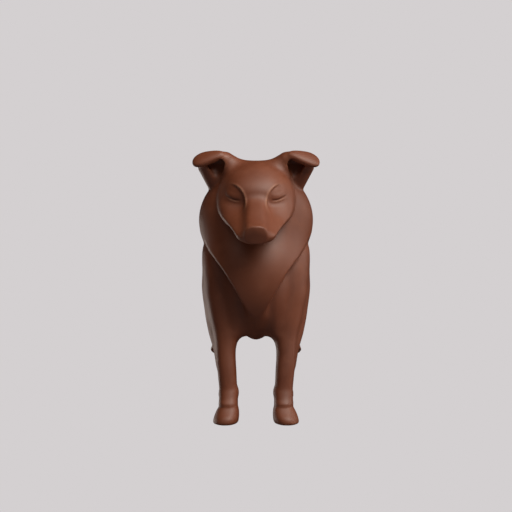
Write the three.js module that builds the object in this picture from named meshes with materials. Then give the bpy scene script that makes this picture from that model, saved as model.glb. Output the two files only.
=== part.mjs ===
// A standing sheepdog figure, moulded and fired as one solid piece of brown clay.
// Millimetres, +Z up. The dog looks along -Y and stands on Z = 0, and X = 0 is its plane of symmetry.
// The body is described as a field of rounded masses that melt into each other, in the way that a
// modeller presses clay onto clay: below zero is inside, above zero outside. A skin is then laid over it.

import * as THREE from 'three';

// Driving dimensions
const STANDING_HEIGHT = 300;
const NOSE_TO_TAIL = 340;
const EAR_SPAN = 140.5;

// The head is set on its own axes: forward along the muzzle, up through the skull.
const HEAD_CENTRE = { y: -92, z: 248 };
const HEAD_DROOP = 30;

// The skin is first laid in fine cells, then its flat places are joined into larger faces.
const CELL = 2.6;
const HALF_FACES = 4900;
const HEAD_CARE = 5;
const FLOOR_SNAP = 0.05;

// Colour of the fired clay
const CLAY = { color: 0x7a4c3b, roughness: 0.5, metalness: 0 };

const radians = THREE.MathUtils.degToRad;

// Smooth union: the two masses melt together over a width k.
function blend(a, b, k) {
  const h = Math.max(k - Math.abs(a - b), 0) / k;
  return Math.min(a, b) - h * h * k * 0.25;
}

// Smooth intersection, and smooth cut of b out of a.
const meet = (a, b, k) => -blend(-a, -b, k);
const carve = (a, b, k) => -blend(-a, b, k);

// A smooth step from 0 to 1 while t goes from lo to hi; lo may be the larger.
function ramp(t, lo, hi) {
  const s = THREE.MathUtils.clamp((t - lo) / (hi - lo), 0, 1);
  return s * s * (3 - 2 * s);
}

function turn(u, v, degrees) {
  const c = Math.cos(radians(degrees));
  const s = Math.sin(radians(degrees));
  return [c * u + s * v, -s * u + c * v];
}

// The place of a point seen from a mass that is pitched about X and rolled about Y.
function local([x, y, z], centre, pitch, roll) {
  let u = x - centre[0];
  let v = y - centre[1];
  let w = z - centre[2];
  [v, w] = turn(v, w, pitch);
  [w, u] = turn(w, u, roll);
  return [u, v, w];
}

// A superellipsoid: n = 2 is an egg, a larger n is squarer, like a pebble.
function pebble(p, centre, radii, n = 2, pitch = 0, roll = 0) {
  const place = local(p, centre, pitch, roll);
  let sum = 0;
  let slope = 0;
  for (let i = 0; i < 3; i += 1) {
    const q = Math.abs(place[i]) / radii[i];
    sum += q ** n;
    slope += (q ** (n - 1) / radii[i]) ** 2;
  }
  const k = (sum + 1e-12) ** (1 / n);
  return (k - 1) / Math.max(k ** (1 - n) * Math.sqrt(slope), 0.25 / Math.max(radii[0], radii[2]));
}

// A tapered limb with round ends, from one joint to another; squash widens or narrows its section.
function limb(p, from, to, radiusFrom, radiusTo, squash = [1, 1, 1]) {
  let along = 0;
  let length = 0;
  for (let i = 0; i < 3; i += 1) {
    const step = (to[i] - from[i]) / squash[i];
    along += ((p[i] - from[i]) / squash[i]) * step;
    length += step * step;
  }
  const t = THREE.MathUtils.clamp(along / length, 0, 1);
  let gap = 0;
  for (let i = 0; i < 3; i += 1) {
    gap += ((p[i] - from[i] - t * (to[i] - from[i])) / squash[i]) ** 2;
  }
  return (Math.sqrt(gap) - radiusFrom - (radiusTo - radiusFrom) * t) * Math.min(...squash);
}

// The section of a limb or of the muzzle: a superellipse with half sizes a and b.
function section(u, v, a, b, n) {
  const p = Math.abs(u) / a;
  const q = Math.abs(v) / b;
  const k = (p ** n + q ** n + 1e-12) ** (1 / n);
  const slope = k ** (1 - n) * Math.hypot(p ** (n - 1) / a, q ** (n - 1) / b);
  return (k - 1) / Math.max(slope, 0.25 / Math.max(a, b));
}

// A smooth curve without overshoot through one column of a list of stations.
function curve(stations, column) {
  const at = stations.map((station) => station[0]);
  const value = stations.map((station) => station[column]);
  const last = at.length - 1;
  const rise = at.slice(1).map((t, i) => (value[i + 1] - value[i]) / (t - at[i]));
  const tangent = at.map((t, i) => {
    if (i === 0) return rise[0];
    if (i === last) return rise[last - 1];
    const agree = rise[i - 1] * rise[i] > 0;
    return agree ? (2 * rise[i - 1] * rise[i]) / (rise[i - 1] + rise[i]) : 0;
  });
  return (t) => {
    const inside = THREE.MathUtils.clamp(t, at[0], at[last]);
    let i = 0;
    while (i < last - 1 && inside >= at[i + 1]) i += 1;
    const h = at[i + 1] - at[i];
    const s = (inside - at[i]) / h;
    const s2 = s * s;
    const s3 = s2 * s;
    return (2 * s3 - 3 * s2 + 1) * value[i] + (s3 - 2 * s2 + s) * h * tangent[i]
      + (3 * s2 - 2 * s3) * value[i + 1] + (s3 - s2) * h * tangent[i + 1];
  };
}

// An upright limb. Each station: height, centre x, centre y, half width, half depth.
function upright(stations) {
  const centreX = curve(stations, 1);
  const centreY = curve(stations, 2);
  const halfWidth = curve(stations, 3);
  const halfDepth = curve(stations, 4);
  return ([x, y, z], n) => section(x - centreX(z), y - centreY(z), halfWidth(z), halfDepth(z), n);
}

// Ribs, keel, loin and rump, with the back carried level over them
function trunk(p) {
  const ribs = pebble(p, [0, -34, 151], [56, 72, 57]);
  const keel = pebble(p, [0, -35, 121.5], [17, 58, 33.5]);
  const loin = pebble(p, [0, 40, 159], [43, 70, 40]);
  const rump = pebble(p, [0, 84, 160], [44, 44, 44]);
  const back = limb(p, [0, -26, 178], [0, 88, 176], 30, 26);
  let body = blend(ribs, keel, 12);
  body = blend(body, loin, 30);
  body = blend(body, rump, 25);
  return blend(body, back, 20);
}

// The front of shoulder and foreleg, down to the pastern
const FORELEG = upright([
  [14, 30.4, -84.0, 10.6, 13.0],
  [18, 30.4, -85.0, 10.6, 14.2],
  [21, 30.4, -85.1, 10.6, 14.3],
  [26, 30.3, -83.8, 10.4, 12.7],
  [32, 30.3, -82.6, 10.3, 11.7],
  [38, 30.7, -81.5, 10.0, 11.2],
  [56, 32.0, -80.5, 10.4, 11.8],
  [78, 33.4, -77.0, 11.0, 13.6],
  [98, 32.4, -73.0, 14.6, 17.0],
  [120, 32.4, -70.0, 20.0, 21.0],
  [146, 33.0, -68.0, 24.0, 24.0],
  [168, 33.6, -65.0, 24.2, 26.0],
  [202, 36.5, -54.0, 20.5, 27.0],
]);

function foreleg(p) {
  const leg = meet(FORELEG(p, 2.3), p[2] - 198, 16);
  const shoulder = pebble(p, [33.5, -46, 184], [24, 32, 42], 2.4, -15);
  const wrist = pebble(p, [25.4, -81, 33], [6.2, 9, 8]);
  return blend(blend(shoulder, leg, 14), wrist, 3);
}

// The upper arm and elbow stand out beside and behind the foreleg.
const UPPER_ARM = upright([
  [58, 34.5, -75, 8.0, 10],
  [80, 38.2, -66, 9.8, 13],
  [98, 41.0, -57, 12.6, 17],
  [120, 42.5, -49, 15.6, 22],
  [152, 41.5, -42, 20.0, 27],
  [190, 39.0, -38, 20.5, 26],
]);

function upperArm(p) {
  const arm = UPPER_ARM(p, 2.2);
  return meet(meet(arm, p[2] - 186, 16), 60 - p[2], 4);
}

// The paw leans outwards, so that its inner side keeps the line of the leg; its toes swell low down.
function forepaw([x, y, z]) {
  const leaning = [x + 0.2 * (z - 6), y, z];
  const instep = pebble(leaning, [32.4, -86, 4.8], [13.2, 16.8, 16.8], 2.6);
  const toes = pebble(leaning, [32.4, -90, 2.6], [12.6, 19, 11.4], 2.3);
  return blend(instep, toes, 4);
}

// Thigh and second thigh, ending in the cut hem of the long hair above the hock
function haunch(p) {
  const thigh = pebble(p, [31, 80, 146], [23, 38, 50], 2, 12);
  const shank = limb(p, [36, 76, 118], [41, 108, 82], 23, 15, [0.85, 1, 1]);
  const breeches = blend(
    limb(p, [37, 96, 116], [38.5, 112, 80], 18, 12.6),
    limb(p, [38.5, 112, 80], [49, 121, 52], 12.6, 13),
    2,
  );
  const hair = blend(blend(thigh, shank, 18), breeches, 12);
  const hem = 58.7 + 0.45 * (124 - p[1]) + 0.3 * (p[0] - 59.6) - p[2];
  return meet(hair, hem * 0.85, 1.6);
}

const HINDLEG = upright([
  [14, 36.4, 107, 9.6, 11.0],
  [26, 36.8, 109, 9.0, 9.4],
  [44, 37.4, 111, 8.8, 9.6],
  [64, 38.6, 115, 9.8, 11.6],
  [82, 39.6, 118, 10.5, 13.0],
]);

function hindleg(p) {
  const bone = meet(HINDLEG(p, 2.3), p[2] - 78, 6);
  const paw = pebble(p, [36.2, 101, 4.5], [12, 19, 13], 2.5);
  return blend(bone, paw, 2);
}

// The tail hangs in a long, full lock of hair.
const TAIL = [
  [0, 100, 186, 12],
  [0, 128, 164, 15.5],
  [0, 144, 132, 16],
  [0, 154, 108, 11],
  [0, 166.4, 88, 3.4],
];
const TAIL_SQUASH = [0.9, 1, 1];
const TAIL_LINE = new THREE.CatmullRomCurve3(TAIL.map(([x, y, z]) => new THREE.Vector3(x, y, z)));
const TAIL_RADIUS = new THREE.SplineCurve(TAIL.map((station, i) => new THREE.Vector2(i, station[3])));
const TAIL_STEPS = 20;
const TAIL_PARTS = Array.from({ length: TAIL_STEPS + 1 }, (_, i) => {
  const t = i / TAIL_STEPS;
  return { centre: TAIL_LINE.getPoint(t).toArray(), radius: TAIL_RADIUS.getPoint(t).y };
});

function tail(p) {
  let lock = Infinity;
  for (let i = 0; i < TAIL_STEPS; i += 1) {
    const [a, b] = [TAIL_PARTS[i], TAIL_PARTS[i + 1]];
    lock = Math.min(lock, limb(p, a.centre, b.centre, a.radius, b.radius, TAIL_SQUASH));
  }
  return lock;
}

// The ruff and the bib under it: a raised coat that ends on the chest in a V between the forelegs.
const BIB_EDGE = [
  [0, 101],
  [9.8, 122.6],
  [16.1, 134.6],
  [24.4, 150.2],
  [36, 168.8],
  [49, 185.6],
  [55.7, 196.3],
  [80, 237],
];
const BIB_HEIGHT = curve(BIB_EDGE, 1);
const BIB_SLOPE = 0.53;

function mane(p) {
  const collar = pebble(p, [0, -57, 223], [63.6, 43, 58.5], 2, 14);
  const chest = pebble(p, [0, -66, 164], [59, 55, 67], 2, 6);
  const nape = limb(p, [0, -50, 230], [0, 2, 172], 48, 42);
  const coat = blend(blend(collar, chest, 22), nape, 24);
  const side = Math.hypot(p[0], 3);
  const sweep = 40 * ramp(p[1], -60, 20) * ramp(side, 10, 32);
  const edge = (BIB_HEIGHT(side) - p[2]) * BIB_SLOPE - sweep;
  return meet(coat, edge, 2 + 14 * ramp(p[2], 126, 108));
}

// The head. Each station of the face: distance forward, half width, top, bottom.
const FACE = [
  [-44, 26, 8, -20],
  [-20, 39, 16, -26],
  [0, 42.2, 17, -27.5],
  [12, 41.6, 14.5, -26.5],
  [22, 39.6, 11, -24.5],
  [32, 36, 9.4, -23.4],
  [45, 30.5, 8.2, -20.6],
  [60, 25.6, 7.2, -16.4],
  [75, 21, 6.2, -13.6],
  [90, 17, 5.6, -11],
];
const FACE_WIDTH = curve(FACE, 1);
const FACE_TOP = curve(FACE, 2);
const FACE_BOTTOM = curve(FACE, 3);
const NOSE_FORWARD = 86.4;

// Each station of the flat bridge of the nose: distance forward, half width, top.
const BRIDGE = [
  [10, 13.6, 14],
  [36, 11.4, 14.2],
  [78, 9.8, 8.9],
  [86, 9.6, 9.3],
];
const BRIDGE_WIDTH = curve(BRIDGE, 1);
const BRIDGE_TOP = curve(BRIDGE, 2);

// The sockets under the brow and the closed lids, laid on the face as seen from in front
function eyeRelief(x, z) {
  const { clamp } = THREE.MathUtils;
  const socket = ramp(Math.hypot(x - 34, z - 240), 22.9, 21);
  const step = -1.8 * socket * ramp(x, 34, 18) * ramp(z, 267, 256) * ramp(z, 226, 242);
  const inside = clamp(1 - ((x - 24.8) / 7.8) ** 2, 0, 1);
  const above = z - 243.4 - 5.6 * clamp((x - 18) / 14, 0, 1.1) ** 2;
  const lid = 0.85 * inside ** 0.6 * ramp(above, -0.6, 0.8) * ramp(above, 8.5, 2.5);
  return step + lid;
}

function head([x, y, z]) {
  const [back, up] = turn(y - HEAD_CENTRE.y, z - HEAD_CENTRE.z, HEAD_DROOP);
  const forward = -back;
  const inHead = [x, forward, up];
  const top = FACE_TOP(forward);
  const bottom = FACE_BOTTOM(forward);
  // The cheeks are widest a little below the middle, and slope up in planes to the bridge of the nose.
  const widest = bottom + (top - bottom) * (0.5 - 0.05 * ramp(forward, 20, 60));
  const above = up > widest;
  const height = above ? top - widest : widest - bottom;
  const jaw = 2.2 - 0.3 * ramp(forward, 30, 55) + 1.1 * ramp(forward, 60, 84);
  const squareness = above ? 2.2 - 0.9 * ramp(forward, 15, 45) : jaw;
  let face = section(x, up - widest, FACE_WIDTH(forward), height, squareness);
  const noseEnd = forward + (x * x) / 90 - NOSE_FORWARD;
  face = meet(face, noseEnd, 6);
  face = meet(face, FACE[0][0] - forward, 10);
  let bridge = section(x, up - 1, BRIDGE_WIDTH(forward), BRIDGE_TOP(forward) - 1, 3.2);
  bridge = meet(bridge, noseEnd, 1.4);
  bridge = meet(bridge, 8 - forward, 4);
  const skull = pebble(inHead, [0, -10, 3], [39, 38, 32]);
  const forehead = pebble(inHead, [0, 6, 12], [30, 27, 18.5], 2.15);
  const crown = blend(blend(face, skull, 10), forehead, 9);
  const whole = blend(crown, bridge, 5 + 4 * ramp(forward, 22, 40));
  return whole - eyeRelief(Math.abs(x), z) * ramp(forward, 8, 18);
}

// An ear is a cup that opens to the front; its tip folds over forwards and outwards, and widens to its end.
function ear(p) {
  const root = limb(p, [5, -72, 264], [34, -84, 287.4], 17.6, 11.2);
  const cup = limb(p, [42.2, -66, 257], [49.8, -75, 284], 8.6, 14.6, [1, 0.9, 1]);
  const length = 9.8 + 0.18 * THREE.MathUtils.clamp(p[0] - 53, -25, 25);
  const flap = pebble(p, [53, -90.5, 290.6], [17.6, length, 5], 2.3, 42, 19);
  const hollow = limb(p, [41.5, -85, 260], [43.2, -89, 284], 1.6, 10.2);
  const solid = blend(blend(root, cup, 8), flap, 8);
  return carve(solid, meet(hollow, 0.4 - flap, 2), 1.6);
}

// The whole dog. Paired masses are written for the side of +X, and a rounded absolute value mirrors them.
function dog(p) {
  const side = Math.hypot(p[0], 0.8);
  const paired = [side, p[1], p[2]];
  let body = blend(trunk(p), upperArm(paired), 9);
  body = blend(body, foreleg(paired), 5 + 20 * ramp(side, 38, 20) * ramp(p[2], 80, 98));
  body = blend(body, haunch(paired), 10);
  body = blend(body, hindleg(paired), 1.5);
  body = blend(body, forepaw(paired), 1.2);
  body = blend(body, tail(p), 6);
  body = blend(body, mane(p), 1.5 + 16 * ramp(p[1], -50, 0) + 12 * ramp(p[2], 136, 112));
  body = blend(body, blend(head(p), ear(paired), 9), 3);
  return meet(body, -p[2], 3);
}

// Values of the field on the nodes of a grid. A block that the surface can't reach gets one value.
function sampled(field, xs, ys, zs) {
  const values = new Float64Array(xs.length * ys.length * zs.length);
  const node = (i, j, k) => (i * ys.length + j) * zs.length + k;
  const fill = (low, high) => {
    const middle = low.map((l, axis) => (l + high[axis]) >> 1);
    const value = field([xs[middle[0]], ys[middle[1]], zs[middle[2]]]);
    const spans = low.map((l, axis) => high[axis] - l);
    const longest = spans.indexOf(Math.max(...spans));
    if (spans[longest] > 0 && Math.abs(value) < 1.8 * CELL * Math.hypot(...spans)) {
      const split = low[longest] + (spans[longest] >> 1);
      fill(low, high.map((h, axis) => (axis === longest ? split : h)));
      fill(low.map((l, axis) => (axis === longest ? split + 1 : l)), high);
      return;
    }
    for (let i = low[0]; i <= high[0]; i += 1) {
      for (let j = low[1]; j <= high[1]; j += 1) {
        values.fill(value, node(i, j, low[2]), node(i, j, high[2]) + 1);
      }
    }
  };
  fill([0, 0, 0], [xs.length - 1, ys.length - 1, zs.length - 1]);
  return { values, node };
}

// Moves a vertex along the slope of the field until it lies on the surface.
function settle(field, vertex) {
  const probe = 0.05;
  let p = vertex;
  for (let pass = 0; pass < 2; pass += 1) {
    const value = field(p);
    const slope = [0, 1, 2].map((axis) => {
      const beside = [...p];
      beside[axis] += probe;
      return (field(beside) - value) / probe;
    });
    const steepness = Math.max(slope[0] ** 2 + slope[1] ** 2 + slope[2] ** 2, 0.05);
    const share = Math.min(1, (CELL * Math.sqrt(steepness)) / (2 * Math.abs(value) + 1e-9));
    p = p.map((c, axis) => c - (share * value * slope[axis]) / steepness);
  }
  return p;
}

const AXES = [[1, 0, 0], [0, 1, 0], [0, 0, 1]];

// The middle of the places where the surface crosses the twelve edges of one cell
function crossingMiddle(values, node, lines, cell) {
  const sum = [0, 0, 0];
  let count = 0;
  for (let axis = 0; axis < 3; axis += 1) {
    const a = AXES[(axis + 1) % 3];
    const b = AXES[(axis + 2) % 3];
    for (let corner = 0; corner < 4; corner += 1) {
      const start = cell.map((c, i) => c + (corner & 1) * a[i] + (corner >> 1) * b[i]);
      const end = start.map((c, i) => c + AXES[axis][i]);
      const from = values[node(...start)];
      const to = values[node(...end)];
      if (from < 0 !== to < 0) {
        const share = from / (from - to);
        for (let i = 0; i < 3; i += 1) {
          sum[i] += lines[i][start[i]] + share * (lines[i][end[i]] - lines[i][start[i]]);
        }
        count += 1;
      }
    }
  }
  return count > 0 ? sum.map((value) => value / count) : null;
}

// The skin of the half at +X: one vertex in each cell that the surface crosses, and two faces across
// each crossed edge. The first cells lie astride X = 0 and their vertices form the seam.
function halfSkin(field, xs, ys, zs) {
  const { values, node } = sampled(field, xs, ys, zs);
  const lines = [xs, ys, zs];
  const cellVertex = new Map();
  const vertices = [];
  for (let i = 0; i < xs.length - 1; i += 1) {
    for (let j = 0; j < ys.length - 1; j += 1) {
      for (let k = 0; k < zs.length - 1; k += 1) {
        const inside = values[node(i, j, k)] < 0;
        const mixed = [1, 2, 3, 4, 5, 6, 7].some((c) => (
          values[node(i + (c & 1), j + ((c >> 1) & 1), k + (c >> 2))] < 0) !== inside);
        if (mixed) {
          cellVertex.set(node(i, j, k), vertices.length);
          const place = settle(field, crossingMiddle(values, node, lines, [i, j, k]));
          if (i === 0) place[0] = 0;
          vertices.push(place);
        }
      }
    }
  }

  const faces = [];
  const apart = (a, b) => Math.hypot(...vertices[a].map((c, i) => c - vertices[b][i]));
  for (const cell of cellVertex.keys()) {
    const k = cell % zs.length;
    const j = Math.floor(cell / zs.length) % ys.length;
    const i = Math.floor(cell / zs.length / ys.length);
    for (let axis = i === 0 ? 3 : 0; axis < 3; axis += 1) {
      const a = AXES[(axis + 1) % 3];
      const b = AXES[(axis + 2) % 3];
      const here = values[cell] < 0;
      const there = values[node(i + AXES[axis][0], j + AXES[axis][1], k + AXES[axis][2])] < 0;
      if (here !== there) {
        const around = [[1, 1], [0, 1], [0, 0], [1, 0]].map(([s, t]) => cellVertex.get(
          node(i - s * a[0] - t * b[0], j - s * a[1] - t * b[1], k - s * a[2] - t * b[2])));
        if (!here) around.reverse();
        const [p, q, r, t] = around;
        faces.push(...(apart(p, r) <= apart(q, t) ? [[p, q, r], [p, r, t]] : [[q, r, t], [q, t, p]]));
      }
    }
  }
  return { vertices, faces };
}

function faceNormal(a, b, c) {
  const [ux, uy, uz] = [b[0] - a[0], b[1] - a[1], b[2] - a[2]];
  const [vx, vy, vz] = [c[0] - a[0], c[1] - a[1], c[2] - a[2]];
  return [uy * vz - uz * vy, uz * vx - ux * vz, ux * vy - uy * vx];
}

// Whether a face that moves neither turns over nor becomes a sliver
function staysGood(before, after) {
  const [was, is] = [faceNormal(...before), faceNormal(...after)];
  const agree = was[0] * is[0] + was[1] * is[1] + was[2] * is[2];
  const longest = Math.max(...after.map(([x, y, z], i) => {
    const [nextX, nextY, nextZ] = after[(i + 1) % 3];
    return Math.hypot(nextX - x, nextY - y, nextZ - z);
  }));
  return agree > 0.35 * Math.hypot(...was) * Math.hypot(...is) && Math.hypot(...is) > 0.08 * longest ** 2;
}

// The error of a vertex at a place is a quadric: the squared distances to the planes of the faces that
// it stands for, by area. It is kept as the ten numbers of a symmetric matrix of four by four.
function addPlane(quadric, [a, b, c], d, weight) {
  const terms = [a * a, a * b, a * c, a * d, b * b, b * c, b * d, c * c, c * d, d * d];
  terms.forEach((term, i) => {
    quadric[i] += weight * term;
  });
}

function quadricError(q, [x, y, z]) {
  return q[0] * x * x + 2 * q[1] * x * y + 2 * q[2] * x * z + 2 * q[3] * x + q[4] * y * y
    + 2 * q[5] * y * z + 2 * q[6] * y + q[7] * z * z + 2 * q[8] * z + q[9];
}

// The place with the least error
function bestPlace(q) {
  const rows = new THREE.Matrix3().set(q[0], q[1], q[2], q[1], q[4], q[5], q[2], q[5], q[7]);
  return new THREE.Vector3(-q[3], -q[6], -q[8]).applyMatrix3(rows.invert()).toArray();
}

// A queue that gives its cheapest item first
class Queue {
  items = [];

  push(item) {
    const { items } = this;
    let i = items.push(item) - 1;
    while (i > 0 && items[(i - 1) >> 1].cost > item.cost) {
      items[i] = items[(i - 1) >> 1];
      i = (i - 1) >> 1;
    }
    items[i] = item;
  }

  pop() {
    const { items } = this;
    const first = items[0];
    const item = items.pop();
    if (items.length === 0) return first;
    let i = 0;
    for (;;) {
      let child = 2 * i + 1;
      if (child >= items.length) break;
      if (child + 1 < items.length && items[child + 1].cost < items[child].cost) child += 1;
      if (items[child].cost >= item.cost) break;
      items[i] = items[child];
      i = child;
    }
    items[i] = item;
    return first;
  }
}

// The head is looked at from close by, so an error counts for more there.
const careAt = ([, y, z]) => 1 + (HEAD_CARE - 1) * ramp(z, 190, 215) * ramp(y, -50, -70);

// Joins the ends of the edge that costs the least, again and again, until few enough faces are left.
// A seam vertex stays on X = 0, and a slight pull to its place keeps the faces even.
function joinFlatPlaces(vertices, faces, target) {
  const stay = 0.002;
  const onSeam = vertices.map((v) => v[0] === 0);
  const facesOf = vertices.map(() => new Set());
  const quadrics = vertices.map(() => new Float64Array(10));
  const age = vertices.map(() => 0);
  for (const face of faces) {
    const [a, b, c] = face.map((v) => vertices[v]);
    const cross = faceNormal(a, b, c);
    const area = Math.hypot(...cross) || 1e-9;
    const normal = cross.map((value) => value / area);
    const weight = area * careAt(a);
    for (const v of face) {
      facesOf[v].add(face);
      addPlane(quadrics[v], normal, -(normal[0] * a[0] + normal[1] * a[1] + normal[2] * a[2]), weight);
      AXES.forEach((axis, i) => addPlane(quadrics[v], axis, -vertices[v][i], stay * weight));
    }
  }

  const neighbours = (v) => {
    const found = new Set();
    for (const face of facesOf[v]) face.forEach((other) => found.add(other));
    found.delete(v);
    return found;
  };
  const queue = new Queue();
  const offer = (a, b) => {
    const sum = quadrics[a].map((value, i) => value + quadrics[b][i]);
    const place = bestPlace(sum);
    if (onSeam[a] || onSeam[b]) place[0] = 0;
    queue.push({ cost: quadricError(sum, place), a, b, place, ageA: age[a], ageB: age[b] });
  };
  const keepsShape = ({ a, b, place }) => {
    const shared = [...facesOf[a]].filter((face) => facesOf[b].has(face));
    const besideB = neighbours(b);
    const common = [...neighbours(a)].filter((v) => besideB.has(v));
    const acrossSeam = onSeam[a] && onSeam[b] && shared.length === 2;
    if (common.length !== shared.length || acrossSeam) return false;
    return [a, b].every((end) => [...facesOf[end]].every((face) => {
      if (shared.includes(face)) return true;
      const others = face.filter((v) => v !== end);
      if ((onSeam[a] || onSeam[b]) && others.every((v) => onSeam[v])) return false;
      return staysGood(face.map((v) => vertices[v]), face.map((v) => (v === end ? place : vertices[v])));
    }));
  };

  vertices.forEach((_, v) => neighbours(v).forEach((other) => {
    if (v < other) offer(v, other);
  }));
  let left = faces.length;
  while (left > target && queue.items.length > 0) {
    const item = queue.pop();
    const { a, b, place } = item;
    if (item.ageA === age[a] && item.ageB === age[b] && keepsShape(item)) {
      for (const face of [...facesOf[b]]) {
        if (face.includes(a)) {
          face.forEach((v) => facesOf[v].delete(face));
          left -= 1;
        } else {
          face[face.indexOf(b)] = a;
          facesOf[a].add(face);
        }
      }
      facesOf[b].clear();
      vertices[a] = place;
      onSeam[a] = onSeam[a] || onSeam[b];
      quadrics[a] = quadrics[a].map((value, i) => value + quadrics[b][i]);
      age[a] += 1;
      age[b] = -1;
      neighbours(a).forEach((other) => offer(a, other));
    }
  }
  return [...new Set(facesOf.flatMap((set) => [...set]))];
}

function dogGeometry() {
  const margin = 3 * CELL;
  const line = (from, to) => {
    const count = Math.ceil((to - from) / CELL) + 1;
    return Array.from({ length: count }, (_, i) => from + i * CELL);
  };
  const xs = line(-CELL / 2, EAR_SPAN / 2 + margin);
  const ys = line(-NOSE_TO_TAIL / 2 - margin, NOSE_TO_TAIL / 2 + margin);
  const zs = line(-1.4 * CELL, STANDING_HEIGHT + margin);
  const { vertices, faces } = halfSkin(dog, xs, ys, zs);
  const half = joinFlatPlaces(vertices, faces, HALF_FACES);

  const positions = [];
  const indexOf = new Map();
  const corner = (v, side) => {
    const key = vertices[v][0] === 0 ? `${v}` : `${v}/${side}`;
    if (!indexOf.has(key)) {
      const [x, y, z] = vertices[v];
      indexOf.set(key, positions.length / 3);
      positions.push(side * x, y, z < FLOOR_SNAP ? 0 : z);
    }
    return indexOf.get(key);
  };
  const index = half.flatMap(([a, b, c]) => [
    corner(a, 1), corner(b, 1), corner(c, 1), corner(c, -1), corner(b, -1), corner(a, -1)]);
  const geometry = new THREE.BufferGeometry();
  geometry.setAttribute('position', new THREE.Float32BufferAttribute(positions, 3));
  geometry.setIndex(index);
  geometry.computeBoundingBox();
  const made = geometry.boundingBox.getSize(new THREE.Vector3());
  const middle = geometry.boundingBox.getCenter(new THREE.Vector3());
  geometry.translate(0, -middle.y, 0);
  geometry.scale(EAR_SPAN / made.x, NOSE_TO_TAIL / made.y, STANDING_HEIGHT / made.z);
  geometry.computeVertexNormals();
  return geometry;
}

const figure = new THREE.Group();
const body = new THREE.Mesh(dogGeometry(), new THREE.MeshStandardMaterial(CLAY));
body.name = 'dog';
figure.add(body);

export default figure;
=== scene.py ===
# A standing sheepdog figure of brown fired clay, set on a pale studio floor.
# The dog looks along -Y, its plane of symmetry is X = 0, and its soles are on Z = 0. Units are metres.
import bpy
import numpy as np
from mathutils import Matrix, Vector


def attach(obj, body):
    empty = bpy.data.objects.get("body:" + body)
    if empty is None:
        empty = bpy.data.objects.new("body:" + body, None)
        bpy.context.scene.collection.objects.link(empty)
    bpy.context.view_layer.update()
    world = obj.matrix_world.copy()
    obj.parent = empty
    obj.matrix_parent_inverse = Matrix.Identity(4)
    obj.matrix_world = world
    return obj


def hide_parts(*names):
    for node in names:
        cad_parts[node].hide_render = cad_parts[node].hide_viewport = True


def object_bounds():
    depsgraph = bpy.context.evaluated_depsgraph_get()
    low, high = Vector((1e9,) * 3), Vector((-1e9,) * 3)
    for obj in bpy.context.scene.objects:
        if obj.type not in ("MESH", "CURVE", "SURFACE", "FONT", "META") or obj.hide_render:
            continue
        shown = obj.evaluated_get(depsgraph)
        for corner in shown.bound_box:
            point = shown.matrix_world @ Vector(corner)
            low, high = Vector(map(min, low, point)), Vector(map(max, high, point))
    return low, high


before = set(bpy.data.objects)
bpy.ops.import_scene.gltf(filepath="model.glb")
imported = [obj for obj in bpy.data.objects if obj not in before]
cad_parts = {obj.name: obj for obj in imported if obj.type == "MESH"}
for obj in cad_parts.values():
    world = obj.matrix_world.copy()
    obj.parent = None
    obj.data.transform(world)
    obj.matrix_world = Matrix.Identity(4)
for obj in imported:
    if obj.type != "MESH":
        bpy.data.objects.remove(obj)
cad_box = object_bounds()


# ---- The dog ----
# The real piece is a tabletop sheepdog, pressed from a two-part mould in one fine-grained brown clay,
# rubbed to a satin gloss while leather hard, and fired. It stands on its four paws without a base.

# It is described in millimetres, as masses of clay that melt into each other: each function gives a value
# that is below zero inside the clay. A skin finer than the solid's facets is then drawn over the whole.
EAR_SPAN, NOSE_TO_TAIL, STANDING_HEIGHT = (round(1000 * (end - start), 2) for start, end in zip(*cad_box))


def blend(a, b, k):
    """Joins two masses, melting them over a width k."""
    h = np.maximum(k - np.abs(a - b), 0.0) / k
    return np.minimum(a, b) - h * h * k * 0.25


def meet(a, b, k):
    """Keeps what both masses share, with edges rounded over a width k."""
    return -blend(-a, -b, k)


def carve(a, b, k):
    """Takes the mass b out of the mass a."""
    return -blend(-a, b, k)


def ramp(t, lo, hi):
    """Rises smoothly from 0 at lo to 1 at hi."""
    s = np.clip((t - lo) / (hi - lo), 0, 1)
    return s * s * (3 - 2 * s)


def turn(u, v, degrees):
    """The same point, read on two axes that are turned by some degrees."""
    c, s = np.cos(np.radians(degrees)), np.sin(np.radians(degrees))
    return c * u + s * v, -s * u + c * v


def curve(t, stations, column):
    """A smooth curve without overshoot through one column of a list of stations."""
    at, value = (np.array([station[i] for station in stations], float) for i in (0, column))
    step = np.diff(at)
    rise = np.diff(value) / step
    tangent = np.zeros_like(value)
    agree = rise[:-1] * rise[1:] > 0
    tangent[1:-1][agree] = 2 * rise[:-1][agree] * rise[1:][agree] / (rise[:-1][agree] + rise[1:][agree])
    tangent[0], tangent[-1] = rise[0], rise[-1]
    t = np.clip(t, at[0], at[-1])
    i = np.clip(np.searchsorted(at, t, side="right") - 1, 0, len(step) - 1)
    s = (t - at[i]) / step[i]
    s2, s3 = s * s, s * s * s
    return ((2 * s3 - 3 * s2 + 1) * value[i] + (s3 - 2 * s2 + s) * step[i] * tangent[i]
            + (3 * s2 - 2 * s3) * value[i + 1] + (s3 - s2) * step[i] * tangent[i + 1])


def pebble(x, y, z, centre, radii, n=2.0, pitch=0.0, roll=0.0):
    """A superellipsoid, tipped by pitch and roll: n = 2 is an egg, and a larger n is squarer."""
    u, v, w = x - centre[0], y - centre[1], z - centre[2]
    v, w = turn(v, w, pitch)
    w, u = turn(w, u, roll)
    p, q, r = (np.abs(side) / radius for side, radius in zip((u, v, w), radii))
    k = (p ** n + q ** n + r ** n + 1e-12) ** (1 / n)
    steepness = sum((side ** (n - 1) / radius) ** 2 for side, radius in zip((p, q, r), radii))
    slope = k ** (1 - n) * np.sqrt(steepness)
    return (k - 1) / np.maximum(slope, 0.25 / max(radii[0], radii[2]))


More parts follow.
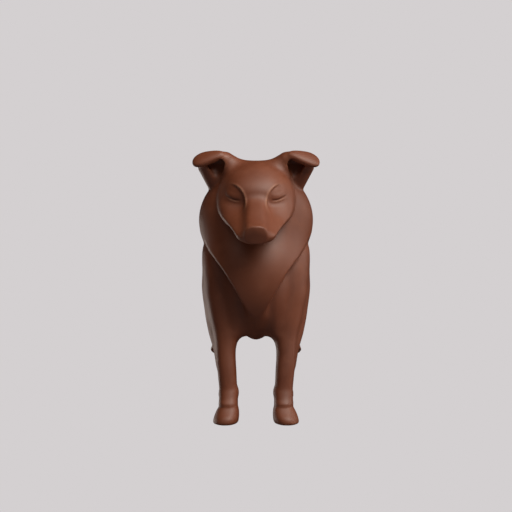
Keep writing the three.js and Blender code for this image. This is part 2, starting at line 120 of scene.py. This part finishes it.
def limb(x, y, z, start, end, start_radius, end_radius, squash=(1, 1, 1)):
    """A tapered limb with round ends, from one joint to another."""
    place = [side / s for side, s in zip((x, y, z), squash)]
    start, end = np.array(start, float) / squash, np.array(end, float) / squash
    way = end - start
    t = np.clip(sum((side - a) * w for side, a, w in zip(place, start, way)) / (way @ way), 0, 1)
    gap = np.sqrt(sum((side - a - t * w) ** 2 for side, a, w in zip(place, start, way)))
    return (gap - start_radius - (end_radius - start_radius) * t) * min(squash)


def section(u, v, a, b, n):
    """The section of a limb or of the muzzle: a superellipse with half sizes a and b."""
    p, q = np.abs(u) / a, np.abs(v) / b
    k = (p ** n + q ** n + 1e-12) ** (1 / n)
    slope = k ** (1 - n) * np.sqrt((p ** (n - 1) / a) ** 2 + (q ** (n - 1) / b) ** 2)
    return (k - 1) / np.maximum(slope, 0.25 / np.maximum(a, b))


def upright(x, y, z, stations, n):
    """An upright limb. Each station: height, centre x, centre y, half width, half depth."""
    centre_x, centre_y, half_width, half_depth = (curve(z, stations, i) for i in (1, 2, 3, 4))
    return section(x - centre_x, y - centre_y, half_width, half_depth, n)


def trunk(x, y, z):
    """The ribs and their keel, the loin behind them, the rump, and the line of the back."""
    ribs = pebble(x, y, z, (0, -34, 151), (56, 72, 57))
    keel = pebble(x, y, z, (0, -35, 121.5), (17, 58, 33.5))
    loin = pebble(x, y, z, (0, 40, 159), (43, 70, 40))
    rump = pebble(x, y, z, (0, 84, 160), (44, 44, 44))
    back = limb(x, y, z, (0, -26, 178), (0, 88, 176), 30, 26)
    body = blend(blend(blend(ribs, keel, 12), loin, 30), rump, 25)
    return blend(body, back, 20)


# Both legs of a pair have one list of stations, each with its height, centre x, centre y and half sizes.
FORELEG = [
    (14, 30.4, -84.0, 10.6, 13.0),
    (18, 30.4, -85.0, 10.6, 14.2),
    (21, 30.4, -85.1, 10.6, 14.3),
    (26, 30.3, -83.8, 10.4, 12.7),
    (32, 30.3, -82.6, 10.3, 11.7),
    (38, 30.7, -81.5, 10.0, 11.2),
    (56, 32.0, -80.5, 10.4, 11.8),
    (78, 33.4, -77.0, 11.0, 13.6),
    (98, 32.4, -73.0, 14.6, 17.0),
    (120, 32.4, -70.0, 20.0, 21.0),
    (146, 33.0, -68.0, 24.0, 24.0),
    (168, 33.6, -65.0, 24.2, 26.0),
    (202, 36.5, -54.0, 20.5, 27.0),
]
UPPER_ARM = [
    (58, 34.5, -75, 8.0, 10),
    (80, 38.2, -66, 9.8, 13),
    (98, 41.0, -57, 12.6, 17),
    (120, 42.5, -49, 15.6, 22),
    (152, 41.5, -42, 20.0, 27),
    (190, 39.0, -38, 20.5, 26),
]


def foreleg(x, y, z):
    """The leg under the shoulder blade, with a small swelling on the inner side of the wrist."""
    leg = meet(upright(x, y, z, FORELEG, 2.3), z - 198, 16)
    shoulder = pebble(x, y, z, (33.5, -46, 184), (24, 32, 42), 2.4, pitch=-15)
    wrist = pebble(x, y, z, (25.4, -81, 33), (6.2, 9, 8))
    return blend(blend(shoulder, leg, 14), wrist, 3)


def upper_arm(x, y, z):
    """The elbow and the fringe of coat behind the foreleg."""
    return meet(meet(upright(x, y, z, UPPER_ARM, 2.2), z - 186, 16), 60 - z, 4)


def forepaw(x, y, z):
    """The paw leans outwards, so that its inner side keeps the line of the leg; its toes swell low."""
    lean = x + 0.2 * (z - 6)
    instep = pebble(lean, y, z, (32.4, -86, 4.8), (13.2, 16.8, 16.8), 2.6)
    toes = pebble(lean, y, z, (32.4, -90, 2.6), (12.6, 19, 11.4), 2.3)
    return blend(instep, toes, 4)


def haunch(x, y, z):
    """The thigh, the shank and the long hair behind them, cut off above the hock along a slanting hem."""
    thigh = pebble(x, y, z, (31, 80, 146), (23, 38, 50), pitch=12)
    shank = limb(x, y, z, (36, 76, 118), (41, 108, 82), 23, 15, (0.85, 1, 1))
    breeches = blend(limb(x, y, z, (37, 96, 116), (38.5, 112, 80), 18, 12.6),
                     limb(x, y, z, (38.5, 112, 80), (49, 121, 52), 12.6, 13), 2)
    hem = 58.7 + 0.45 * (124 - y) + 0.3 * (x - 59.6) - z
    return meet(blend(blend(thigh, shank, 18), breeches, 12), hem * 0.85, 1.6)


HINDLEG = [
    (14, 36.4, 107, 9.6, 11.0),
    (26, 36.8, 109, 9.0, 9.4),
    (44, 37.4, 111, 8.8, 9.6),
    (64, 38.6, 115, 9.8, 11.6),
    (82, 39.6, 118, 10.5, 13.0),
]


def hindleg(x, y, z):
    """The bare leg under the hem, and the hind paw."""
    bone = meet(upright(x, y, z, HINDLEG, 2.3), z - 78, 6)
    paw = pebble(x, y, z, (36.2, 101, 4.5), (12, 19, 13), 2.5)
    return blend(bone, paw, 2)


# Each station of the tail: x, y, z, radius.
TAIL = np.array([
    (0, 100.0, 186, 12.0),
    (0, 128.0, 164, 15.5),
    (0, 144.0, 132, 16.0),
    (0, 154.0, 108, 11.0),
    (0, 166.4, 88, 3.4),
])


def tail(x, y, z):
    """The tail hangs in one long lock of hair, on a smooth curve through its stations."""
    knots = np.vstack([2 * TAIL[0] - TAIL[1], TAIL, 2 * TAIL[-1] - TAIL[-2]])
    line = []
    for a, b, c, d in zip(knots, knots[1:], knots[2:], knots[3:]):
        for t in np.linspace(0, 1, 5, endpoint=False):
            line.append((2 * b + (c - a) * t + (2 * a - 5 * b + 4 * c - d) * t ** 2
                         + (3 * b - a - 3 * c + d) * t ** 3) / 2)
    line.append(TAIL[-1])
    parts = [limb(x, y, z, p[:3], q[:3], p[3], q[3], (0.9, 1, 1)) for p, q in zip(line, line[1:])]
    return np.minimum.reduce(parts)


# The ruff and the bib under it are a raised coat that ends on the chest in a V: half width, height.
BIB_EDGE = [
    (0, 101),
    (9.8, 122.6),
    (16.1, 134.6),
    (24.4, 150.2),
    (36, 168.8),
    (49, 185.6),
    (55.7, 196.3),
    (80, 237),
]


def mane(x, y, z):
    """The collar behind the head, the chest and the nape, cut off below along the edge of the bib."""
    collar = pebble(x, y, z, (0, -57, 223), (63.6, 43, 58.5), pitch=14)
    chest = pebble(x, y, z, (0, -66, 164), (59, 55, 67), pitch=6)
    nape = limb(x, y, z, (0, -50, 230), (0, 2, 172), 48, 42)
    side = np.hypot(x, 3)
    edge = (curve(side, BIB_EDGE, 1) - z) * 0.53 - 40 * ramp(y, -60, 20) * ramp(side, 10, 32)
    return meet(blend(blend(collar, chest, 22), nape, 24), edge, 2 + 14 * ramp(z, 126, 108))


# The head has its own axes, tipped down. Each station: distance forward, half width, top, bottom.
HEAD_Y, HEAD_Z, HEAD_DROOP = -92, 248, 30
NOSE_FORWARD = 86.4
FACE = [
    (-44, 26.0, 8.0, -20.0),
    (-20, 39.0, 16.0, -26.0),
    (0, 42.2, 17.0, -27.5),
    (12, 41.6, 14.5, -26.5),
    (22, 39.6, 11.0, -24.5),
    (32, 36.0, 9.4, -23.4),
    (45, 30.5, 8.2, -20.6),
    (60, 25.6, 7.2, -16.4),
    (75, 21.0, 6.2, -13.6),
    (90, 17.0, 5.6, -11.0),
]
# The flat bridge of the nose: distance forward, half width, top.
BRIDGE = [(10, 13.6, 14), (36, 11.4, 14.2), (78, 9.8, 8.9), (86, 9.6, 9.3)]


SOCKET_X, SOCKET_Z, SOCKET_RADIUS = 34, 240, 22
LASH_X, LASH_Z, LASH_HALF = 24.8, 243.4, 7.8


def eye_lines(x, z):
    """Socket, brow rim, lid, lower rim and lash line of an eye, laid on the face as seen from in front."""
    from_socket = np.hypot(x - SOCKET_X, z - SOCKET_Z) - SOCKET_RADIUS
    along_brow = ramp(x, 34, 18) * ramp(z, 267, 256) * ramp(z, 226, 242)
    socket = ramp(from_socket, 0.9, -1) * along_brow
    brow_rim = np.exp(-(from_socket - 1.3) ** 2 / 1.1) * along_brow
    across = (x - LASH_X) / LASH_HALF
    above = z - LASH_Z - 5.6 * np.clip((x - 18) / 14, 0, 1.1) ** 2
    inside = np.clip(1 - across ** 2, 0, 1)
    lid = inside ** 0.6 * ramp(above, -0.6, 0.8) * ramp(above, 8.5, 2.5)
    lower_rim = inside * np.exp(-(above + 1.9) ** 2 / 0.9)
    lash_line = np.exp(-(above + 0.4) ** 2 / 0.4) * ramp(np.abs(across), 1.2, 0.8)
    return socket, brow_rim, lid, lower_rim, lash_line


def eye_relief(x, z):
    """How far the face is raised at the eyes, in millimetres."""
    socket, brow_rim, lid, lower_rim, lash_line = eye_lines(x, z)
    return 0.85 * lid + 0.5 * (brow_rim + lower_rim) - 1.8 * socket - 0.4 * lash_line


def head(x, y, z):
    """The face with sloping cheeks and a flat bridge down to the nose; behind it, skull and forehead."""
    back, up = turn(y - HEAD_Y, z - HEAD_Z, HEAD_DROOP)
    forward = -back
    top, bottom = curve(forward, FACE, 2), curve(forward, FACE, 3)
    widest = bottom + (top - bottom) * (0.5 - 0.05 * ramp(forward, 20, 60))
    above = up > widest
    height = np.where(above, top - widest, widest - bottom)
    jaw = 2.2 - 0.3 * ramp(forward, 30, 55) + 1.1 * ramp(forward, 60, 84)
    squareness = np.where(above, 2.2 - 0.9 * ramp(forward, 15, 45), jaw)
    face = section(x, up - widest, curve(forward, FACE, 1), height, squareness)
    nose_end = forward + x * x / 90 - NOSE_FORWARD
    face = meet(meet(face, nose_end, 6), FACE[0][0] - forward, 10)
    bridge = section(x, up - 1, curve(forward, BRIDGE, 1), curve(forward, BRIDGE, 2) - 1, 3.2)
    bridge = meet(meet(bridge, nose_end, 1.4), 8 - forward, 4)
    skull = pebble(x, forward, up, (0, -10, 3), (39, 38, 32))
    forehead = pebble(x, forward, up, (0, 6, 12), (30, 27, 18.5), 2.15)
    whole = blend(blend(blend(face, skull, 10), forehead, 9), bridge, 5 + 4 * ramp(forward, 22, 40))
    return whole - eye_relief(np.abs(x), z) * ramp(forward, 8, 18)


def ear(x, y, z):
    """A cup that opens to the front; its tip folds over forwards and outwards, and widens to its end."""
    root = limb(x, y, z, (5, -72, 264), (34, -84, 287.4), 17.6, 11.2)
    cup = limb(x, y, z, (42.2, -66, 257), (49.8, -75, 284), 8.6, 14.6, (1, 0.9, 1))
    length = 9.8 + 0.18 * np.clip(x - 53, -25, 25)
    flap = pebble(x, y, z, (53, -90.5, 290.6), (17.6, length, 5), 2.3, pitch=42, roll=19)
    hollow = limb(x, y, z, (41.5, -85, 260), (43.2, -89, 284), 1.6, 10.2)
    return carve(blend(blend(root, cup, 8), flap, 8), meet(hollow, 0.4 - flap, 2), 1.6)


def whole_dog(x, y, z):
    """Paired masses are written for the side of +X, and a rounded absolute value mirrors them."""
    side = np.hypot(x, 0.8)
    body = blend(trunk(x, y, z), upper_arm(side, y, z), 9)
    body = blend(body, foreleg(side, y, z), 5 + 20 * ramp(side, 38, 20) * ramp(z, 80, 98))
    body = blend(body, haunch(side, y, z), 10)
    body = blend(body, hindleg(side, y, z), 1.5)
    body = blend(body, forepaw(side, y, z), 1.2)
    body = blend(body, tail(x, y, z), 6)
    body = blend(body, mane(x, y, z), 1.5 + 16 * ramp(y, -50, 0) + 12 * ramp(z, 136, 112))
    body = blend(body, blend(head(x, y, z), ear(side, y, z), 9), 3)
    return meet(body, -z, 3)


def clay_values(cell):
    """The field on a grid of small cells: worked out near the surface only, and mirrored at X = 0."""
    xs = np.arange(0, EAR_SPAN / 2 + 6, cell)
    ys = np.arange(-NOSE_TO_TAIL / 2 - 6, NOSE_TO_TAIL / 2 + 6, cell)
    zs = np.arange(-1.5 * cell, STANDING_HEIGHT + 6, cell)
    coarse = 4 * cell
    rough_lines = [np.arange(line[0], line[-1] + coarse, coarse) for line in (xs, ys, zs)]
    rough = whole_dog(*np.meshgrid(*rough_lines, indexing="ij"))
    nearest = [np.rint((line - line[0]) / coarse).astype(int) for line in (xs, ys, zs)]
    values = rough[np.ix_(*nearest)]
    near = np.abs(values) < 2.2 * coarse
    x, y, z = np.meshgrid(xs, ys, zs, indexing="ij")
    values[near] = whole_dog(x[near], y[near], z[near])
    return np.concatenate([values[:0:-1], values]), np.concatenate([-xs[:0:-1], xs]), ys, zs


def settle(points, reach):
    """Moves points along the slope of the field onto the surface, and gives their outward directions."""
    probe = 0.05
    for _ in range(3):
        value = whole_dog(*points.T)
        slope = np.stack([whole_dog(*(points + probe * axis).T) - value for axis in np.eye(3)], 1) / probe
        steepness = np.maximum((slope ** 2).sum(1), 0.05)
        move = (value / steepness)[:, None] * slope
        length = np.linalg.norm(move, axis=1, keepdims=True)
        points = points - move * np.minimum(1, reach / np.maximum(length, 1e-9))
    return points, slope / np.linalg.norm(slope, axis=1, keepdims=True)


def draw_skin(cell):
    """One point in each cell that the surface crosses, and one face over each crossed edge of the grid."""
    values, *lines = clay_values(cell)
    inside = values < 0
    size = np.array(values.shape)
    step = np.eye(3, dtype=int)
    corners = [np.array((i, j, k)) for i in (0, 1) for j in (0, 1) for k in (0, 1)]
    filled = sum(inside[i:size[0] - 1 + i, j:size[1] - 1 + j, k:size[2] - 1 + k].astype(np.int8)
                 for i, j, k in corners)
    cells = np.argwhere((filled > 0) & (filled < 8))
    number = np.full(size - 1, -1)
    number[tuple(cells.T)] = np.arange(len(cells))
    total, count = np.zeros((len(cells), 3)), np.zeros(len(cells))
    for corner in corners:
        for axis in np.flatnonzero(corner == 0):
            start = cells + corner
            end = start + step[axis]
            low, high = values[tuple(start.T)], values[tuple(end.T)]
            crossed = (low < 0) != (high < 0)
            share = np.where(crossed, low / np.where(crossed, low - high, 1), 0)
            place = np.stack([line[index] for line, index in zip(lines, start.T)], 1)
            place[:, axis] += share * cell
            total += place * crossed[:, None]
            count += crossed
    faces = []
    for axis in range(3):
        along, a, b = step[axis], step[(axis + 1) % 3], step[(axis + 2) % 3]
        low = inside[tuple(slice(0, n - s) for n, s in zip(size, along))]
        high = inside[tuple(slice(s, n) for n, s in zip(size, along))]
        edges = np.argwhere(low != high)
        around = np.stack([number[tuple((edges - shift).T)] for shift in (a + b, b, 0 * a, a)], 1)
        outward = low[tuple(edges.T)]
        around[~outward] = around[~outward][:, ::-1]
        faces.append(around)
    points, _ = settle(total / count[:, None], cell / 2)
    return points, np.concatenate(faces)


# The skin is drawn in cells of 1.1 mm, then thinned where it is nearly flat; the head is left finest.
CELL = 1.1
MOST_TRIANGLES = 190000
points, faces = draw_skin(CELL)
skin = bpy.data.meshes.new("dog")
skin.from_pydata(points.tolist(), [], faces.tolist())
dog = bpy.data.objects.new("dog_figure", skin)
bpy.context.scene.collection.objects.link(dog)
care = dog.vertex_groups.new(name="care")
at_head = ramp(points[:, 1], -40, -70) * ramp(points[:, 2], 180, 215)
levels = np.rint(10 * (0.25 + 0.75 * at_head)).astype(int)
for level in np.unique(levels):
    care.add(np.flatnonzero(levels == level).tolist(), level / 10, "REPLACE")
thin = dog.modifiers.new("thin", "DECIMATE")
thin.ratio = min(1, MOST_TRIANGLES / (2 * len(faces)))
thin.vertex_group = "care"
thin.invert_vertex_group = True
thin.vertex_group_factor = 1.0
thinned = bpy.data.meshes.new_from_object(dog.evaluated_get(bpy.context.evaluated_depsgraph_get()))
dog.modifiers.remove(thin)
dog.vertex_groups.clear()
dog.data = thinned
bpy.data.meshes.remove(skin)
thinned.name = "dog"

places = np.empty(3 * len(thinned.vertices))
thinned.vertices.foreach_get("co", places)
places, outward = settle(places.reshape(-1, 3), CELL / 2)

# How far a place lies in a hollow, and how far it stands out as an edge: masks for the painted shade in
# the hollows and the painted highlights on the edges, and for duller and glossier clay there.
REACH = 5.0
hollow = np.clip((REACH - whole_dog(*(places + REACH * outward).T)) / REACH, 0, 1)
edge = np.clip((REACH + whole_dog(*(places - REACH * outward).T)) / REACH, 0, 1)
# The rims over and under the eyes, on the front of the head, get a painted highlight.
_, brow_rim, _, lower_rim, _ = eye_lines(np.abs(places[:, 0]), places[:, 2])
painted_rim_highlight = (brow_rim + lower_rim) * (places[:, 1] < HEAD_Y + 2)
for name, mask in (("hollow", hollow), ("edge", edge), ("painted_rim_highlight", painted_rim_highlight)):
    thinned.attributes.new(name, "FLOAT", "POINT").data.foreach_set("value", mask.astype(np.float32))

# The soles are laid flat, and the figure is brought to the outer sizes of the solid.
places[places[:, 2] < 0.05, 2] = 0
low, high = places.min(0), places.max(0)
places[:, 1] -= (low[1] + high[1]) / 2
places *= np.array([EAR_SPAN, NOSE_TO_TAIL, STANDING_HEIGHT]) / (high - low)
thinned.vertices.foreach_set("co", (places / 1000).ravel())
thinned.shade_smooth()
thinned.update()

# The clay: warm brown through and through, with the faint clouding of the firing. Its hollows are painted
# darker as painted shade, and its edges and the rims of the eyes paler as painted highlights; the clay is
# also duller in the hollows and glossier on the edges.
FIRED, SMOKED, HANDLED = (0.159, 0.0405, 0.0145, 1), (0.122, 0.0295, 0.0103, 1), (0.192, 0.057, 0.024, 1)
# Painted shade for the hollows, and painted highlights for the edges and the rims of the eyes.
HOLLOW_SHADE_PAINT, EDGE_HIGHLIGHT_PAINT, RIM_HIGHLIGHT_PAINT = (0.095, 0.022, 0.009, 1), (0.22, 0.075, 0.035, 1), (0.29, 0.125, 0.07, 1)
clay = bpy.data.materials.new("burnished_clay")
clay.use_nodes = True
nodes, links = clay.node_tree.nodes, clay.node_tree.links
surface = nodes["Principled BSDF"]
surface.inputs["IOR"].default_value = 1.5
surface.inputs["Specular IOR Level"].default_value = 0.6
where = nodes.new("ShaderNodeTexCoord").outputs["Object"]


def cloud(scale, detail, distortion=0.0):
    """A soft cloudy pattern through the clay."""
    noise = nodes.new("ShaderNodeTexNoise")
    noise.inputs["Scale"].default_value = scale
    noise.inputs["Detail"].default_value = detail
    noise.inputs["Distortion"].default_value = distortion
    links.new(where, noise.inputs["Vector"])
    return noise.outputs["Fac"]


def spread(value, low, high, to_low, to_high):
    """The values between low and high, stretched to lie between two others."""
    node = nodes.new("ShaderNodeMapRange")
    node.inputs["From Min"].default_value = low
    node.inputs["From Max"].default_value = high
    node.inputs["To Min"].default_value = to_low
    node.inputs["To Max"].default_value = to_high
    links.new(value, node.inputs["Value"])
    return node.outputs["Result"]


def scaled(value, most):
    return spread(value, 0, 1, 0, most)


def tint(under, over, amount):
    """Lays one colour over another."""
    node = nodes.new("ShaderNodeMix")
    node.data_type = "RGBA"
    if isinstance(under, tuple):
        node.inputs["A"].default_value = under
    else:
        links.new(under, node.inputs["A"])
    node.inputs["B"].default_value = over
    links.new(amount, node.inputs["Factor"])
    return node.outputs["Result"]


def add(a, b):
    node = nodes.new("ShaderNodeMath")
    node.operation = "ADD"
    links.new(a, node.inputs[0])
    links.new(b, node.inputs[1])
    return node.outputs["Value"]


def mask_named(name):
    node = nodes.new("ShaderNodeAttribute")
    node.attribute_name = name
    return node.outputs["Fac"]


in_hollow = spread(mask_named("hollow"), 0.15, 0.75, 0, 1)
on_edge = spread(mask_named("edge"), 0.3, 0.9, 0, 1)
on_rim = mask_named("painted_rim_highlight")
firing = cloud(14, 3, 0.6)
grain = cloud(950, 2)
handling = cloud(70, 4, 0.3)
colour = tint(FIRED, SMOKED, spread(firing, 0.42, 0.68, 0, 1))
colour = tint(colour, HANDLED, spread(handling, 0.52, 0.8, 0, 0.5))
# Painted shade: the hollows are darkened.
colour = tint(colour, HOLLOW_SHADE_PAINT, scaled(in_hollow, 0.1))
# Painted highlight: the edges are lightened.
colour = tint(colour, EDGE_HIGHLIGHT_PAINT, scaled(on_edge, 0.4))
# Painted highlight: the brow rims and lower rims of the eyes are lightened.
colour = tint(colour, RIM_HIGHLIGHT_PAINT, scaled(on_rim, 0.7))
links.new(colour, surface.inputs["Base Color"])
dullness = add(spread(handling, 0.3, 0.7, 0.52, 0.58), scaled(in_hollow, 0.12))
links.new(add(dullness, scaled(on_edge, -0.05)), surface.inputs["Roughness"])
relief = nodes.new("ShaderNodeBump")
relief.inputs["Strength"].default_value = 0.12
relief.inputs["Distance"].default_value = 0.0004
links.new(add(scaled(grain, 0.35), scaled(handling, 0.65)), relief.inputs["Height"])
links.new(relief.outputs["Normal"], surface.inputs["Normal"])
thinned.materials.clear()
thinned.materials.append(clay)

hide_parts("dog")
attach(dog, "root")


# ---- The studio ----
# A plain pale floor that runs into an equally pale background. A broad key panel stands high in front
# on the right, a weaker one beside the figure, and a faint one high on the left keeps the far cheek from
# going black. A small panel low behind the left side draws the pale rim along that side of the figure.

PALE = (0.658, 0.63, 0.637, 1)


def pale_light(tree, kind, output, seen, felt):
    """A plain glowing surface: its brightness in the picture, and as soft light on the clay."""
    glow = tree.nodes.new(kind)
    glow.inputs["Color"].default_value = PALE
    path = tree.nodes.new("ShaderNodeLightPath")
    choice = tree.nodes.new("ShaderNodeMix")
    choice.inputs["A"].default_value = felt
    choice.inputs["B"].default_value = seen
    tree.links.new(path.outputs["Is Camera Ray"], choice.inputs["Factor"])
    tree.links.new(choice.outputs["Result"], glow.inputs["Strength"])
    tree.links.new(glow.outputs[0], output.inputs["Surface"])


floor_mesh = bpy.data.meshes.new("floor")
floor_mesh.from_pydata([(-6, -6, 0), (6, -6, 0), (6, 9, 0), (-6, 9, 0)], [], [(0, 1, 2, 3)])
floor = bpy.data.objects.new("floor", floor_mesh)
bpy.context.scene.collection.objects.link(floor)
floor_paint = bpy.data.materials.new("floor_paint")
floor_paint.use_nodes = True
floor_tree = floor_paint.node_tree
floor_tree.nodes.clear()
floor_output = floor_tree.nodes.new("ShaderNodeOutputMaterial")
pale_light(floor_tree, "ShaderNodeEmission", floor_output, seen=1.0, felt=0.45)
floor_mesh.materials.append(floor_paint)
floor.visible_shadow = False
floor.visible_glossy = False

world = bpy.data.worlds.new("studio")
bpy.context.scene.world = world
world.use_nodes = True
world.cycles_visibility.glossy = False
world.node_tree.nodes.clear()
world_output = world.node_tree.nodes.new("ShaderNodeOutputWorld")
pale_light(world.node_tree, "ShaderNodeBackground", world_output, seen=1.0, felt=0.05)


def panel(name, place, aim, side, power, colour):
    """A square lamp that faces a point on the figure."""
    lamp = bpy.data.lights.new(name, "AREA")
    lamp.shape = "SQUARE"
    lamp.size = side
    lamp.energy, lamp.color = power, colour
    stand = bpy.data.objects.new(name, lamp)
    stand.location = place
    stand.rotation_euler = (Vector(aim) - Vector(place)).to_track_quat("-Z", "Y").to_euler()
    bpy.context.scene.collection.objects.link(stand)


panel("key", (0.75, -0.9, 1.35), (0, 0, 0.17), 1.2, 33, (1, 0.95, 0.87))
panel("side", (1.5, 0.1, 0.6), (0, 0, 0.17), 1.0, 7, (1, 0.92, 0.84))
panel("fill", (-0.5, -1.0, 1.5), (0, 0, 0.17), 1.0, 4, (1, 0.92, 0.84))
panel("rim", (-0.95, 0.85, -0.05), (0, 0, 0.15), 0.5, 3.1, (1, 0.87, 0.79))

# The camera looks level and straight at the face, from the height of the chest.
camera = bpy.data.cameras.new("camera")
camera.sensor_width = 36
camera.lens = 67.0
viewer = bpy.data.objects.new("camera", camera)
viewer.location = (0, -1.137, 0.1838)
viewer.rotation_euler = (np.pi / 2, 0, 0)
bpy.context.scene.collection.objects.link(viewer)
bpy.context.scene.camera = viewer
bpy.context.scene.view_settings.view_transform = "Standard"
